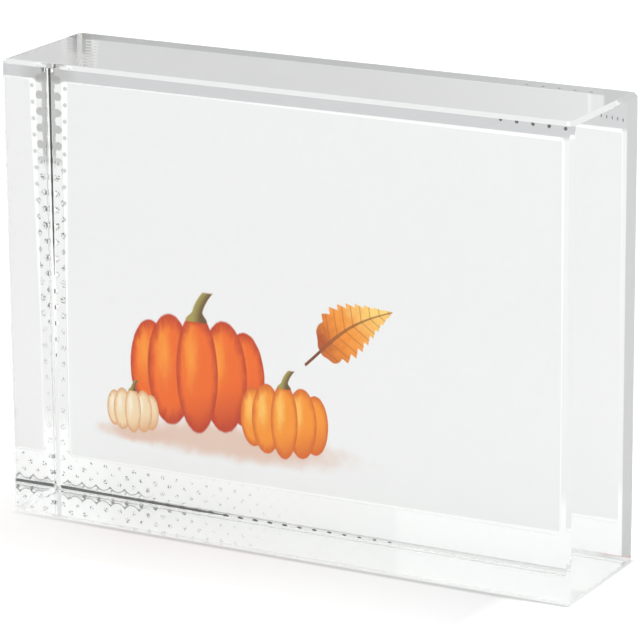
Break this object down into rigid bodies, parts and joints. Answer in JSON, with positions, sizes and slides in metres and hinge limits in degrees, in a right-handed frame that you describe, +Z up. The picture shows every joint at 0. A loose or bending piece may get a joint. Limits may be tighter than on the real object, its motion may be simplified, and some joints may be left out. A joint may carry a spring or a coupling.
{
  "type": "photo crystal",
  "caption": "Free-standing clear glass block with chamfered edges and a photo print bonded behind it under a thin white backing sheet.",
  "frame": {"origin": "under the middle of the whole object, on the surface that the block stands on", "axes": "+X to the viewer's right across the picture, +Y from the picture's front to the back, +Z up"},
  "size_m": [0.1, 0.0248, 0.0755],
  "materials": {
    "clear_glass": "polished",
    "clear_adhesive": "clear, gloss",
    "print": "smooth photo paper",
    "film": "satin",
    "backing": "matt white"
  },
  "bodies": {
    "root": {"crystal_block": "clear_glass", "clear_adhesive": "clear_adhesive", "photo_print": "print", "bonding_film": "film", "backing_sheet": "backing"}
  },
  "joints": []
}
